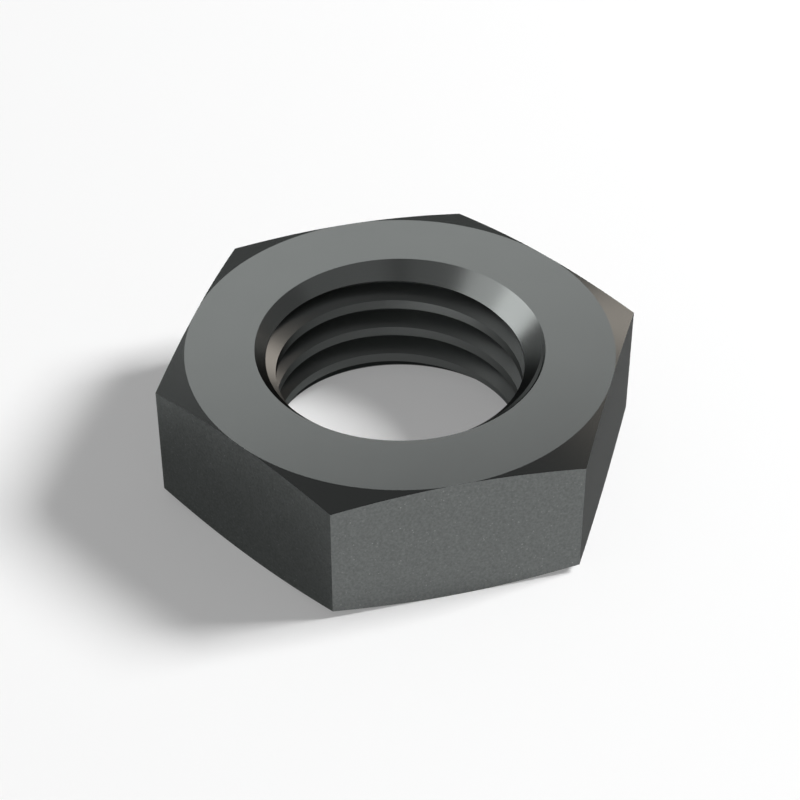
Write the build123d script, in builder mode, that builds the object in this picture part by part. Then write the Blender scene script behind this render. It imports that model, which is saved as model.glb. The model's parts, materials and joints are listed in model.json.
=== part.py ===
from build123d import *
from build123d.topology import SkipClean
from math import ceil, radians, sqrt, tan
import os

os.makedirs("parts", exist_ok=True)

# A thin hex nut in one piece: a hexagonal blank, chamfered at both faces, with
# a coarse right-hand metric thread cut through it.
# The origin is the centre of the lower bearing face. +Z is the thread's axis,
# +X points at a corner and +Y at the middle of a flat.

# Blank
across_flats = 24.0
thickness = 8.0
chamfer_angle = 15.0  # from the bearing face down to the chamfer
bearing_circle_reach = 0.015  # radius of the round bearing face past the flats

# Thread
thread_diameter = 16.0  # at the root of the groove
pitch = 2.0
flank_angle = 30.0  # each flank leans this far from square to the axis
thread_start_angle = 108.0  # from +X round to where the groove meets the lower face

# Countersinks
countersink_reach = 0.12  # radius of the mouth past the root of the groove
countersink_angle = 45.0  # from the bearing face down to the cone

# Turned outline of the blank, wide enough to clear the corners
corner_radius = across_flats / sqrt(3)
bearing_radius = across_flats / 2 + bearing_circle_reach
outline_radius = corner_radius + pitch
chamfer_drop = (outline_radius - bearing_radius) * tan(radians(chamfer_angle))

# Bore, drilled one pitch under the thread's diameter, and its countersinks
root_radius = thread_diameter / 2
bore_radius = (thread_diameter - pitch) / 2
mouth_radius = root_radius + countersink_reach
countersink_depth = (mouth_radius - bore_radius) * tan(radians(countersink_angle))
bore_sectors = 3
sector_angle = 360 / bore_sectors

# Section of the groove: flat at the root, open towards the axis
root_half_width = pitch / 16
groove_inner_radius = bore_radius - pitch / 8
groove_section_depth = root_radius - groove_inner_radius
groove_half_width = root_half_width + groove_section_depth * tan(radians(flank_angle))

# The groove's turns, stacked end to end and half a pitch past both faces. They
# join half a turn away from where the groove meets the lower face
turns_in_blank = ceil(thickness / pitch)
turn_heights = [(turn - 1 / 2) * pitch for turn in range(turns_in_blank + 1)]
turn_start_angle = thread_start_angle - 180


with BuildPart() as groove_turn:
    # One turn of the groove, to be cut out of the bore's wall
    with BuildLine() as groove_path:
        Helix(pitch=pitch, height=pitch, radius=root_radius)
    with BuildSketch(Plane.XZ) as groove_section:
        with BuildLine():
            Polyline(
                (root_radius, -root_half_width),
                (root_radius, root_half_width),
                (groove_inner_radius, groove_half_width),
                (groove_inner_radius, -groove_half_width),
                close=True,
            )
        make_face()
    sweep(is_frenet=True)


with BuildPart() as hex_nut:
    # Hexagonal blank with a corner on +X
    with BuildSketch() as hexagon:
        RegularPolygon(radius=corner_radius, side_count=6)
    extrude(amount=thickness)

    # The chamfers are turned at both faces, so every flat ends in a curved edge
    with BuildSketch(Plane.XZ) as turned_outline:
        with BuildLine():
            Polyline(
                (0, 0),
                (bearing_radius, 0),
                (outline_radius, chamfer_drop),
                (outline_radius, thickness - chamfer_drop),
                (bearing_radius, thickness),
                (0, thickness),
                close=True,
            )
        make_face()
    revolve(axis=Axis.Z, mode=Mode.INTERSECT)

    # Bore and countersinks. The wall is turned in sectors and they stay apart,
    # so that each strip of it left between the grooves is a short, plain cylinder
    with SkipClean():
        for sector in range(bore_sectors):
            sector_plane = Plane.XZ.rotated((0, 0, sector * sector_angle))
            with BuildSketch(sector_plane) as bore_outline:
                with BuildLine():
                    Polyline(
                        (0, 0),
                        (mouth_radius, 0),
                        (bore_radius, countersink_depth),
                        (bore_radius, thickness - countersink_depth),
                        (mouth_radius, thickness),
                        (0, thickness),
                        close=True,
                    )
                make_face()
            revolve(axis=Axis.Z, revolution_arc=sector_angle, mode=Mode.SUBTRACT)

        # The stacked turns cut one helical groove right through the bore
        turn_places = [
            Location((0, 0, height), (0, 0, turn_start_angle))
            for height in turn_heights
        ]
        with Locations(*turn_places):
            add(groove_turn.part, mode=Mode.SUBTRACT)

hex_nut.part.label = "hex_nut"
export_step(hex_nut.part, "parts/hex_nut.step")
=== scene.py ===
import json
import math

import bmesh
import bpy
from mathutils import Matrix, Vector


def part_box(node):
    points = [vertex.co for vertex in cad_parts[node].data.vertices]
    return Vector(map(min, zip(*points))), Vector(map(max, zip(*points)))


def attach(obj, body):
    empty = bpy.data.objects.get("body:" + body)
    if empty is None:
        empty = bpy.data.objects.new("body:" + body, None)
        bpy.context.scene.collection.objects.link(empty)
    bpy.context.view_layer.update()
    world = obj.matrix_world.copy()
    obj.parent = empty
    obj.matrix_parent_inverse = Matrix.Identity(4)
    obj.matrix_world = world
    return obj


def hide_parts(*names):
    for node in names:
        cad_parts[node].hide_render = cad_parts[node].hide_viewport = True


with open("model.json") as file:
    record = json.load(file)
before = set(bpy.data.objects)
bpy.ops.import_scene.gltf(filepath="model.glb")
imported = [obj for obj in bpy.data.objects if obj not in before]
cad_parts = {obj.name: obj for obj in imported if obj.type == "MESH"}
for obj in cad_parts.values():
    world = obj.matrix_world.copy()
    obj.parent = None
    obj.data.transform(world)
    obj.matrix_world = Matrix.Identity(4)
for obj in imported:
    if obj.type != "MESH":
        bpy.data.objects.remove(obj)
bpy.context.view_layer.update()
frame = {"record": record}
print("frame loaded")

scene = bpy.context.scene
scene.view_settings.view_transform = "Standard"
toMetres = 0.001  # the nut and its marks are sized in millimetres
lowCorner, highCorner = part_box("hex_nut")


def newObject(name, data):
    made = bpy.data.objects.new(name, data)
    scene.collection.objects.link(made)
    return made


def meshObject(name, bm, material):
    mesh = bpy.data.meshes.new(name)
    bm.to_mesh(mesh)
    bm.free()
    mesh.materials.append(material)
    return newObject(name, mesh)


def feed(tree, socket, value):
    # A socket takes either another node's output or a plain value
    if isinstance(value, bpy.types.NodeSocket):
        tree.links.new(value, socket)
    else:
        socket.default_value = value


def addNode(tree, kind, inputs, **settings):
    node = tree.nodes.new("ShaderNode" + kind)
    for name, value in settings.items():
        setattr(node, name, value)
    for name, value in inputs.items():
        feed(tree, node.inputs[name], value)
    return node


def calc(tree, operation, *values):
    node = tree.nodes.new("ShaderNodeMath")
    node.operation = operation
    for socket, value in zip(node.inputs, values):
        feed(tree, socket, value)
    return node.outputs["Value"]


def mixColours(tree, share, first, second):
    node = tree.nodes.new("ShaderNodeMix")
    node.data_type = "RGBA"
    sockets = {socket.identifier: socket for socket in node.inputs}
    feed(tree, sockets["Factor_Float"], share)
    feed(tree, sockets["A_Color"], first)
    feed(tree, sockets["B_Color"], second)
    return next(socket for socket in node.outputs if socket.identifier == "Result_Color")


camera = {
    "lens": 100,
    "sensor": 36,
    "azimuth": 15,  # degrees from +X, anticlockwise
    "elevation": 40,
    "distance": 0.126606,  # metres from the nut's middle
    "clipStart": 0.01,
    "clipEnd": 20,
}


def direction(azimuth, elevation):
    turn = math.radians(azimuth)
    rise = math.radians(elevation)
    return Vector((
        math.cos(turn) * math.cos(rise),
        math.sin(turn) * math.cos(rise),
        math.sin(rise),
    ))


def makeCamera():
    data = bpy.data.cameras.new("camera")
    data.lens = camera["lens"]
    data.sensor_width = camera["sensor"]
    data.clip_start = camera["clipStart"]
    data.clip_end = camera["clipEnd"]
    away = direction(camera["azimuth"], camera["elevation"])
    made = newObject("camera", data)
    made.location = (lowCorner + highCorner) / 2 + away * camera["distance"]
    made.rotation_euler = (-away).to_track_quat("-Z", "Y").to_euler()
    scene.camera = made


plainLight = (1, 1, 1)
warmLight = (1, 0.86, 0.77)

# Softboxes aimed at the nut, all angles in degrees. Across and tall are the angles
# that a lamp fills, glow is how bright it looks in a mirror, and roll turns it about
# its own middle. Those for the steel only show in its reflections, and the floor's
# key only lights the floor and casts the shadow
lamps = [
    {"name": "backSoftbox", "azimuth": 198, "elevation": 34, "across": 37, "tall": 17,
     "roll": 7, "tint": plainLight, "glow": 2.0, "lights": "steel"},
    {"name": "backLowSoftbox", "azimuth": 219, "elevation": 9.5, "across": 66, "tall": 17,
     "roll": 0, "tint": plainLight, "glow": 0.18, "lights": "steel"},
    {"name": "backLeftSoftbox", "azimuth": 233, "elevation": 39, "across": 26, "tall": 24,
     "roll": 0, "tint": plainLight, "glow": 0.12, "lights": "steel"},
    {"name": "warmSoftbox", "azimuth": 162, "elevation": 22, "across": 26, "tall": 17,
     "roll": 0, "tint": warmLight, "glow": 2.5, "lights": "steel"},
    {"name": "warmHighSoftbox", "azimuth": 158, "elevation": 42, "across": 26, "tall": 17,
     "roll": 0, "tint": warmLight, "glow": 0.35, "lights": "steel"},
    {"name": "leftSoftbox", "azimuth": 266, "elevation": 24, "across": 27, "tall": 24,
     "roll": 0, "tint": plainLight, "glow": 3.6, "lights": "steel"},
    {"name": "leftHighSoftbox", "azimuth": 293, "elevation": 41, "across": 29, "tall": 26,
     "roll": 0, "tint": plainLight, "glow": 1.9, "lights": "steel"},
    {"name": "frontSoftbox", "azimuth": 336, "elevation": 51, "across": 40, "tall": 24,
     "roll": 0, "tint": plainLight, "glow": 0.26, "lights": "steel"},
    {"name": "frontLowSoftbox", "azimuth": 10, "elevation": 21, "across": 100, "tall": 34,
     "roll": 0, "tint": plainLight, "glow": 0.8, "lights": "steel"},
    {"name": "rightHighSoftbox", "azimuth": 66, "elevation": 50, "across": 60, "tall": 26,
     "roll": 0, "tint": plainLight, "glow": 0.28, "lights": "steel"},
    {"name": "rightSoftbox", "azimuth": 110, "elevation": 24, "across": 60, "tall": 24,
     "roll": 0, "tint": plainLight, "glow": 0.12, "lights": "steel"},
    {"name": "floorKey", "azimuth": 118, "elevation": 40, "across": 18, "tall": 18,
     "roll": 0, "tint": plainLight, "glow": 45.2, "lights": "floor"},
]
lampDistance = 1.0  # metres


def makeLamps():
    for lamp in lamps:
        data = bpy.data.lights.new(lamp["name"], "AREA")
        data.shape = "RECTANGLE"
        data.size = 2 * lampDistance * math.tan(math.radians(lamp["across"]) / 2)
        data.size_y = 2 * lampDistance * math.tan(math.radians(lamp["tall"]) / 2)
        data.color = lamp["tint"]
        data.energy = lamp["glow"] * data.size * data.size_y * math.pi
        away = direction(lamp["azimuth"], lamp["elevation"])
        facing = (-away).to_track_quat("-Z", "Y").to_euler()
        facing.rotate_axis("Z", math.radians(lamp["roll"]))
        made = newObject(lamp["name"], data)
        made.location = away * lampDistance
        made.rotation_euler = facing
        made.visible_glossy = lamp["lights"] == "steel"
        made.visible_diffuse = lamp["lights"] == "floor"


stage = {
    "radius": 6.0,  # metres
    "sides": 64,
    "gap": 0.00001,  # the floor lies this far under the nut
    "colour": (0.9, 0.9, 0.9, 1),
    "lift": 0.25,  # share of plain white in the floor, as eyes and mirrors see it
    "skyColour": (0.17, 0.17, 0.17, 1),
    "horizonColour": (0.4, 0.4, 0.4, 1),
    "horizonFade": 16,  # degrees above the horizon where the sky's own colour starts
}


def makeWorld():
    # Paler at the horizon, where it meets the floor, than overhead
    world = bpy.data.worlds.new("studio")
    world.use_nodes = True
    tree = world.node_tree
    place = tree.nodes.new("ShaderNodeTexCoord").outputs["Generated"]
    height = addNode(tree, "SeparateXYZ", {"Vector": place}).outputs["Z"]
    share = addNode(tree, "MapRange", {
        "Value": height, "From Max": math.sin(math.radians(stage["horizonFade"])),
    }, interpolation_type="SMOOTHSTEP").outputs["Result"]
    colour = mixColours(tree, share, stage["horizonColour"], stage["skyColour"])
    feed(tree, tree.nodes["Background"].inputs["Color"], colour)
    scene.world = world


def floorMaterial():
    # Quite matt, and lifted towards white for eyes and mirrors alone
    material = bpy.data.materials.new("paleFloor")
    material.use_nodes = True
    tree = material.node_tree
    shader = tree.nodes["Principled BSDF"]
    shader.inputs["Base Color"].default_value = stage["colour"]
    shader.inputs["Roughness"].default_value = 1
    shader.inputs["Specular IOR Level"].default_value = 0
    rays = tree.nodes.new("ShaderNodeLightPath").outputs
    seen = calc(tree, "MAXIMUM", rays["Is Camera Ray"], rays["Is Glossy Ray"])
    seen = calc(tree, "MAXIMUM", seen, rays["Is Transmission Ray"])
    white = addNode(tree, "Emission", {"Color": (1, 1, 1, 1), "Strength": 1.0})
    mix = addNode(tree, "MixShader", {"Fac": calc(tree, "MULTIPLY", seen, stage["lift"])})
    feed(tree, mix.inputs[1], shader.outputs["BSDF"])
    feed(tree, mix.inputs[2], white.outputs["Emission"])
    feed(tree, tree.nodes["Material Output"].inputs["Surface"], mix.outputs["Shader"])
    return material


def makeFloor():
    bm = bmesh.new()
    bmesh.ops.create_circle(bm, cap_ends=True, segments=stage["sides"], radius=stage["radius"])
    bmesh.ops.translate(bm, verts=bm.verts, vec=(0, 0, lowCorner.z - stage["gap"]))
    floor = meshObject("floor", bm, floorMaterial())


def newGroup(name, inputs, outputs):
    group = bpy.data.node_groups.new(name, "ShaderNodeTree")
    for socketName, kind, value in inputs:
        socket = group.interface.new_socket(socketName, in_out="INPUT", socket_type=kind)
        if value is not None:
            socket.default_value = value
    for socketName in outputs:
        group.interface.new_socket(socketName, in_out="OUTPUT", socket_type="NodeSocketFloat")
    given = group.nodes.new("NodeGroupInput").outputs
    made = group.nodes.new("NodeGroupOutput").inputs
    return group, given, made


# The brighter specks in a blasted surface, which show in patches
speckMarks = {
    "perGrain": 0.6,  # specks along a line, for each grain
    "bright": 0.08,  # a speck's bright middle, as a share of the distance between specks
    "faded": 0.2,  # where it has faded out
    "patchesPerGrain": 0.25,
    "patchStart": 0.42,  # level of the patch noise at which specks begin to show
    "patchFull": 0.68,  # and at which they show in full
}


def grainGroup():
    # Fine blasted grain, with patches of brighter specks. Values run from 0 to 1
    group, given, made = newGroup(
        "blastedGrain",
        [("Place", "NodeSocketVector", None), ("Grain", "NodeSocketFloat", 0.1)],
        ["Tone", "Specks"],
    )
    place = given["Place"]
    perMetre = calc(group, "DIVIDE", 1 / toMetres, given["Grain"])
    specksPerMetre = calc(group, "MULTIPLY", perMetre, speckMarks["perGrain"])
    patchesPerMetre = calc(group, "MULTIPLY", perMetre, speckMarks["patchesPerGrain"])
    tone = addNode(group, "TexNoise", {
        "Vector": place, "Scale": perMetre, "Detail": 3.0, "Roughness": 0.6,
    })
    cells = addNode(group, "TexVoronoi", {"Vector": place, "Scale": specksPerMetre})
    dots = addNode(group, "MapRange", {
        "Value": cells.outputs["Distance"],
        "From Min": speckMarks["faded"], "From Max": speckMarks["bright"],
    })
    patches = addNode(group, "TexNoise", {"Vector": place, "Scale": patchesPerMetre})
    share = addNode(group, "MapRange", {
        "Value": patches.outputs["Fac"],
        "From Min": speckMarks["patchStart"], "From Max": speckMarks["patchFull"],
    })
    specks = calc(group, "MULTIPLY", dots.outputs["Result"], share.outputs["Result"])
    feed(group, made["Tone"], tone.outputs["Fac"])
    feed(group, made["Specks"], specks)
    return group


def ringsGroup():
    # Marks that a turning tool leaves, round the part's own axis. The tool travels
    # along the radius on a face and along the axis in the bore, so the two are added
    group, given, made = newGroup(
        "turningRings",
        [("Place", "NodeSocketVector", None), ("Feed", "NodeSocketFloat", 0.06)],
        ["Rings"],
    )
    split = addNode(group, "SeparateXYZ", {"Vector": given["Place"]}).outputs
    squaredX = calc(group, "MULTIPLY", split["X"], split["X"])
    squaredY = calc(group, "MULTIPLY", split["Y"], split["Y"])
    radius = calc(group, "SQRT", calc(group, "ADD", squaredX, squaredY))
    travel = calc(group, "ADD", radius, split["Z"])
    turns = calc(group, "DIVIDE", calc(group, "DIVIDE", travel, toMetres), given["Feed"])
    rings = addNode(group, "TexNoise", {
        "W": turns, "Scale": 1.0, "Detail": 2.0,
    }, noise_dimensions="1D")
    feed(group, made["Rings"], rings.outputs["Fac"])
    return group


def driftGroup():
    # The dark finish is a little uneven from place to place
    group, given, made = newGroup(
        "finishDrift",
        [("Place", "NodeSocketVector", None), ("Patch", "NodeSocketFloat", 3.0)],
        ["Drift"],
    )
    perMetre = calc(group, "DIVIDE", 1 / toMetres, given["Patch"])
    drift = addNode(group, "TexNoise", {
        "Vector": given["Place"], "Scale": perMetre, "Detail": 2.0,
    })
    feed(group, made["Drift"], drift.outputs["Fac"])
    return group


groups = {"grain": grainGroup(), "rings": ringsGroup(), "drift": driftGroup()}

steelColours = {
    "dark": (0.1, 0.106, 0.104, 1),
    "light": (0.167, 0.176, 0.1725, 1),
    "speck": (0.28, 0.29, 0.285, 1),
}

# Tone runs from the dark colour to the light one, and grainTone, ringTone and
# driftTone are how far each mark swings it. Swing does the same for the roughness.
# A low edgeTone keeps the steel dark at a glancing angle. Grain, feed and patch are
# in millimetres, and relief is the depth of the finish's bump in metres
finishes = {
    "turnedSteel": {
        "tone": 0.5, "roughness": 0.25, "swing": 0.04, "edgeTone": 0.34,
        "grain": 0.05, "grainTone": 0.04, "specks": 0.0, "feed": 0.07, "ringTone": 0.06,
        "patch": 3.0, "driftTone": 0.15, "bumpFrom": "rings", "relief": 0.0000002,
    },
    "blastedSteel": {
        "tone": 0.63, "roughness": 0.32, "swing": 0.02, "edgeTone": 0.19,
        "grain": 0.15, "grainTone": 1.7, "specks": 0.9, "feed": 0.07, "ringTone": 0.0,
        "patch": 3.0, "driftTone": 0.15, "bumpFrom": "grain", "relief": 0.000004,
    },
    "cutSteel": {
        "tone": 0.88, "roughness": 0.28, "swing": 0.04, "edgeTone": 0.34,
        "grain": 0.05, "grainTone": 0.04, "specks": 0.0, "feed": 0.05, "ringTone": 0.06,
        "patch": 3.0, "driftTone": 0.15, "bumpFrom": "rings", "relief": 0.0000003,
    },
}


def steelMaterial(name):
    finish = finishes[name]
    material = bpy.data.materials.new(name)
    material.use_nodes = True
    tree = material.node_tree
    shader = tree.nodes["Principled BSDF"]
    place = tree.nodes.new("ShaderNodeTexCoord").outputs["Object"]
    grain = addNode(
        tree, "Group", {"Place": place, "Grain": finish["grain"]}, node_tree=groups["grain"],
    ).outputs
    rings = addNode(
        tree, "Group", {"Place": place, "Feed": finish["feed"]}, node_tree=groups["rings"],
    ).outputs["Rings"]
    drift = addNode(
        tree, "Group", {"Place": place, "Patch": finish["patch"]}, node_tree=groups["drift"],
    ).outputs["Drift"]

    # Each mark runs round 0.5 and pulls the finish's tone up or down by its own share
    tone = finish["tone"]
    for mark, share in ((grain["Tone"], "grainTone"), (rings, "ringTone"), (drift, "driftTone")):
        pull = calc(tree, "MULTIPLY", calc(tree, "SUBTRACT", mark, 0.5), finish[share])
        tone = calc(tree, "ADD", pull, tone)
    colour = mixColours(tree, tone, steelColours["dark"], steelColours["light"])
    specks = calc(tree, "MULTIPLY", grain["Specks"], finish["specks"])
    colour = mixColours(tree, specks, colour, steelColours["speck"])
    pulled = calc(tree, "SUBTRACT", tone, finish["tone"])
    swing = calc(tree, "MULTIPLY", pulled, finish["swing"])
    height = grain["Tone"] if finish["bumpFrom"] == "grain" else rings
    bump = addNode(tree, "Bump", {"Strength": 1.0, "Distance": finish["relief"], "Height": height})

    feed(tree, shader.inputs["Base Color"], colour)
    feed(tree, shader.inputs["Roughness"], calc(tree, "ADD", swing, finish["roughness"]))
    feed(tree, shader.inputs["Normal"], bump.outputs["Normal"])
    feed(tree, shader.inputs["Metallic"], 1)
    feed(tree, shader.inputs["Specular Tint"], (finish["edgeTone"],) * 3 + (1,))
    return material


threadMount = next(m for m in frame["record"]["mounts"] if m["name"] == "thread")

# Sizes are in millimetres, and the overall ones come from the frame. The ring, the
# prism and the screw that shape the nut reach a little past it, to cut it cleanly
hexNut = {
    "acrossFlats": (highCorner.y - lowCorner.y) / toMetres,
    "thickness": (highCorner.z - lowCorner.z) / toMetres,
    "chamferAngle": math.radians(15),  # from the bearing face down to the chamfer
    "bearingReach": 0.015,  # radius of the bearing face past the flats
    "boreRadius": threadMount["dims"]["r_mm"],  # at the thread's crests
    "boreLength": threadMount["dims"]["length_mm"],  # between the two countersinks
    "pitch": 2.0,
    "flankAngle": math.radians(30),  # from square to the axis
    "threadStart": math.radians(108),  # where the groove meets the lower face
    "facets": 288,  # round the ring, and in each turn of the thread
    "sharpAngle": math.radians(8),  # where faces meet at more than this, the edge is sharp
    "ringReach": 1.0,  # the ring past the hexagon's corners
    "wallReach": 0.4,  # the ring's wall inside the crests
    "prismReach": 1.0,  # the prism past each face
    "screwReach": 2,  # turns of the screw past each face
    "screwWeld": 0.0001,  # points of the screw closer than this are one
    "nutWeld": 0.0005,  # and so for points of the nut
}
cornerRadius = hexNut["acrossFlats"] / math.sqrt(3)


def drawLine(bm, points, closed):
    # Points are (radius, height) pairs, drawn as edges ready to be spun
    verts = [bm.verts.new((radius, 0, height)) for radius, height in points]
    ends = verts[1:] + verts[:1] if closed else verts[1:]
    edges = [bm.edges.new(pair) for pair in zip(verts, ends)]
    return verts + edges


def newVerts(grown):
    return [v for v in grown["geom"] if isinstance(v, bmesh.types.BMVert)]


def turnedRing():
    # The nut as a lathe would leave it, before it has its flats. Its wall runs on
    # from the countersinks' cones to a little inside the crests
    top = hexNut["thickness"]
    outer = cornerRadius + hexNut["ringReach"]
    bearing = hexNut["acrossFlats"] / 2 + hexNut["bearingReach"]
    chamfer = (outer - bearing) * math.tan(hexNut["chamferAngle"])
    coneDepth = (top - hexNut["boreLength"]) / 2
    mouth = hexNut["boreRadius"] + coneDepth  # the cones lean at 45 degrees
    inner = hexNut["boreRadius"] - hexNut["wallReach"]
    deep = mouth - inner
    section = [
        (mouth, 0), (bearing, 0), (outer, chamfer), (outer, top - chamfer),
        (bearing, top), (mouth, top), (inner, top - deep), (inner, deep),
    ]
    bm = bmesh.new()
    bmesh.ops.spin(
        bm, geom=drawLine(bm, section, True), axis=(0, 0, 1), cent=(0, 0, 0),
        angle=2 * math.pi, steps=hexNut["facets"], use_merge=True,
    )
    bmesh.ops.recalc_face_normals(bm, faces=bm.faces)
    return bm


def hexPrism():
    # The six flats, with a corner on +X
    reach = hexNut["prismReach"]
    turned = Matrix.Rotation(math.pi / 6, 3, "Z")
    bm = bmesh.new()
    bmesh.ops.create_circle(bm, cap_ends=True, segments=6, radius=cornerRadius)
    bmesh.ops.rotate(bm, verts=bm.verts, cent=(0, 0, 0), matrix=turned)
    bmesh.ops.translate(bm, verts=bm.verts, vec=(0, 0, -reach))
    grown = bmesh.ops.extrude_face_region(bm, geom=bm.faces[:])
    bmesh.ops.translate(bm, verts=newVerts(grown), vec=(0, 0, hexNut["thickness"] + 2 * reach))
    bmesh.ops.recalc_face_normals(bm, faces=bm.faces)
    return bm


def threadScrew():
    # A solid screw as wide as the roots of the thread, spun along its helix
    pitch = hexNut["pitch"]
    crest = hexNut["boreRadius"]
    root = crest + pitch / 2
    rootHalf = pitch / 16  # the groove's flat root is an eighth of the pitch wide
    crestHalf = rootHalf + (root - crest) * math.tan(hexNut["flankAngle"])
    turns = math.ceil(hexNut["thickness"] / pitch) + 2 * hexNut["screwReach"]
    bottom = -(hexNut["screwReach"] + 0.5) * pitch  # the spin lifts the line by one pitch
    section = [(crest, bottom)]
    for turn in range(turns):
        middle = bottom + (turn + 0.5) * pitch
        section += [(crest, middle - crestHalf), (root, middle - rootHalf)]
        section += [(root, middle + rootHalf), (crest, middle + crestHalf)]
    section.append((crest, bottom + turns * pitch))
    bm = bmesh.new()
    bmesh.ops.spin(
        bm, geom=drawLine(bm, section, False), axis=(0, 0, 1), cent=(0, 0, 0),
        dvec=(0, 0, pitch / hexNut["facets"]), angle=2 * math.pi,
        steps=hexNut["facets"], use_merge=False,
    )
    bmesh.ops.remove_doubles(bm, verts=bm.verts, dist=hexNut["screwWeld"])

    # Both ends close to a point on the axis
    middle = hexNut["thickness"] / 2
    tip = middle + hexNut["screwReach"] * pitch
    for side in (-1, 1):
        rim = [e for e in bm.edges if e.is_boundary and side * (e.verts[0].co.z - middle) > 0]
        grown = bmesh.ops.extrude_edge_only(bm, edges=rim)
        bmesh.ops.pointmerge(bm, verts=newVerts(grown), merge_co=(0, 0, middle + side * tip))
    turned = Matrix.Rotation(hexNut["threadStart"], 3, "Z")
    bmesh.ops.rotate(bm, verts=bm.verts, cent=(0, 0, 0), matrix=turned)
    bmesh.ops.recalc_face_normals(bm, faces=bm.faces)
    return bm


def makeNut():
    # Each face of the nut keeps the finish of the shape that made it
    ring = meshObject("ring", turnedRing(), steelMaterial("turnedSteel"))
    prism = meshObject("prism", hexPrism(), steelMaterial("blastedSteel"))
    screw = meshObject("screw", threadScrew(), steelMaterial("cutSteel"))
    for cutter, operation in ((prism, "INTERSECT"), (screw, "DIFFERENCE")):
        step = ring.modifiers.new(cutter.name, "BOOLEAN")
        step.object = cutter
        step.operation = operation
        step.solver = "EXACT"
        step.material_mode = "TRANSFER"
    shown = ring.evaluated_get(bpy.context.evaluated_depsgraph_get())
    mesh = bpy.data.meshes.new_from_object(shown)
    mesh.name = "nut"
    for used in (ring, prism, screw):
        bpy.data.objects.remove(used)

    bm = bmesh.new()
    bm.from_mesh(mesh)
    bmesh.ops.remove_doubles(bm, verts=bm.verts, dist=hexNut["nutWeld"])
    for face in bm.faces:
        face.smooth = True
    for edge in bm.edges:
        edge.smooth = edge.calc_face_angle(0) < hexNut["sharpAngle"]
    bmesh.ops.scale(bm, verts=bm.verts, vec=(toMetres, toMetres, toMetres))
    bm.to_mesh(mesh)
    bm.free()
    return newObject("nut", mesh)


makeCamera()
makeWorld()
makeFloor()
makeLamps()
print("studio ready")

nut = makeNut()
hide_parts("hex_nut")
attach(nut, "root")
print("nut modelled")
